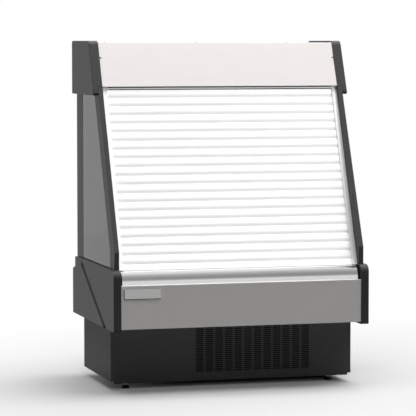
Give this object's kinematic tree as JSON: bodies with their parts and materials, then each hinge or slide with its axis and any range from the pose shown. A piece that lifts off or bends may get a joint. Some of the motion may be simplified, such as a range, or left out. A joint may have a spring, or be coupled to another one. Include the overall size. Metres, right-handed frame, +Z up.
{
  "type": "open multideck display fridge",
  "caption": "Open-front multideck display fridge with raked glazed sides, shelves inside, a fan-cooled cabinet on a grilled base, and a slatted shutter that rolls down over its front.",
  "frame": {"origin": "on the floor, under the middle of the overall box", "axes": "+Z up, +Y from the open front towards the back, +X to the right seen from the front"},
  "size_m": [1.175, 0.805, 1.524],
  "materials": {
    "base_black": "satin",
    "foot_black": "matte",
    "compressor_black": "gloss",
    "mount_rubber": "matte",
    "coil_aluminium": "satin",
    "galvanised_sheet": "satin",
    "motor_grey": "satin",
    "fan_aluminium": "satin",
    "box_grey": "satin",
    "gland_black": "matte",
    "pipe_copper": "satin",
    "drain_plastic": "matte",
    "foam_filling": "matte",
    "liner_white": "satin",
    "end_grey": "satin",
    "frame_grey": "satin",
    "window_glass": "polished",
    "front_grey": "satin",
    "badge_aluminium": "satin",
    "nosing_gloss": "gloss",
    "header_white": "satin",
    "honeycomb_grey": "matte",
    "lamp_white": "gloss",
    "trim_aluminium": "satin",
    "shutter_white": "satin",
    "seal_rubber": "matte",
    "screw_steel": "satin"
  },
  "bodies": {
    "cabinet": {"base_pan": "base_black", "corner_posts": "base_black", "base_grille": "base_black", "base_side_left": "base_black", "base_side_right": "base_black", "base_rear_panel": "base_black", "compressor": "compressor_black", "compressor_mounts": "mount_rubber", "condenser_coil": "coil_aluminium", "evaporator_coil": "coil_aluminium", "condenser_fan_shroud": "galvanised_sheet", "drain_pan": "galvanised_sheet", "cabinet_skin": "galvanised_sheet", "header_top": "galvanised_sheet", "evaporator_fan_plenum": "galvanised_sheet", "barrel_brackets": "galvanised_sheet", "shelf_uprights": "galvanised_sheet", "shelf_brackets": "galvanised_sheet", "condenser_fan_motor": "motor_grey", "evaporator_fan_motors": "motor_grey", "electrical_box": "box_grey", "cord_gland": "gland_black", "refrigerant_pipes": "pipe_copper", "drain_tube": "drain_plastic", "cabinet_foam": "foam_filling", "cabinet_liner": "liner_white", "deck_pan": "liner_white", "return_air_grille": "liner_white", "rear_duct_panel": "liner_white", "upper_shelf": "liner_white", "lower_shelf": "liner_white", "canopy_floor": "liner_white", "end_panel_left": "end_grey", "end_panel_right": "end_grey", "header_cap_left": "end_grey", "header_cap_right": "end_grey", "side_frame_left": "frame_grey", "side_frame_right": "frame_grey", "side_glass_left": "window_glass", "side_glass_right": "window_glass", "front_panel": "front_grey", "badge_plate": "badge_aluminium", "nosing": "nosing_gloss", "header_panel": "header_white", "discharge_honeycomb": "honeycomb_grey", "canopy_light": "lamp_white", "slot_trim": "trim_aluminium", "shutter_guides": "trim_aluminium", "cover_screws": "screw_steel"},
    "foot_front_left_body": {"foot_front_left": "foot_black"},
    "foot_front_right_body": {"foot_front_right": "foot_black"},
    "foot_rear_left_body": {"foot_rear_left": "foot_black"},
    "foot_rear_right_body": {"foot_rear_right": "foot_black"},
    "shutter": {"shutter_bottom_bar": "shutter_white", "bar_seal": "seal_rubber", "shutter_curtain": "shutter_white"},
    "barrel": {"roller_barrel": "trim_aluminium"},
    "condenser_fan": {"condenser_fan_blade": "fan_aluminium"},
    "left_evaporator_fan": {"evaporator_fan_left": "fan_aluminium"},
    "right_evaporator_fan": {"evaporator_fan_right": "fan_aluminium"}
  },
  "joints": [
    {"name": "foot_front_left_screw", "type": "slide", "parent": "cabinet", "child": "foot_front_left_body", "axis": [0, 0, -1], "range_m": [0, 0.02]},
    {"name": "foot_front_right_screw", "type": "slide", "parent": "cabinet", "child": "foot_front_right_body", "axis": [0, 0, -1], "range_m": [0, 0.02]},
    {"name": "foot_rear_left_screw", "type": "slide", "parent": "cabinet", "child": "foot_rear_left_body", "axis": [0, 0, -1], "range_m": [0, 0.02]},
    {"name": "foot_rear_right_screw", "type": "slide", "parent": "cabinet", "child": "foot_rear_right_body", "axis": [0, 0, -1], "range_m": [0, 0.02]},
    {"name": "shutter_lift", "type": "slide", "parent": "cabinet", "child": "shutter", "axis": [0, 0.3599, 0.933], "range_m": [0, 0.78], "deforming": ["shutter_curtain"]},
    {"name": "barrel_turn", "type": "hinge", "parent": "cabinet", "child": "barrel", "pos_m": [0, 0.05743, 1.425], "axis": [-1, 0, 0], "range_deg": [0, 900]},
    {"name": "condenser_fan_spin", "type": "hinge", "parent": "cabinet", "child": "condenser_fan", "pos_m": [0.0944, -0.1082, 0.127], "axis": [0, 1, 0], "continuous": true},
    {"name": "left_evaporator_fan_spin", "type": "hinge", "parent": "cabinet", "child": "left_evaporator_fan", "pos_m": [-0.22835, -0.2002, 0.4178], "axis": [0, 1, 0], "continuous": true},
    {"name": "right_evaporator_fan_spin", "type": "hinge", "parent": "cabinet", "child": "right_evaporator_fan", "pos_m": [0.22835, -0.2002, 0.4178], "axis": [0, 1, 0], "continuous": true}
  ],
  "couplings": [
    {"joint": "barrel_turn", "follows": "shutter_lift", "rad_per_m": 20}
  ]
}
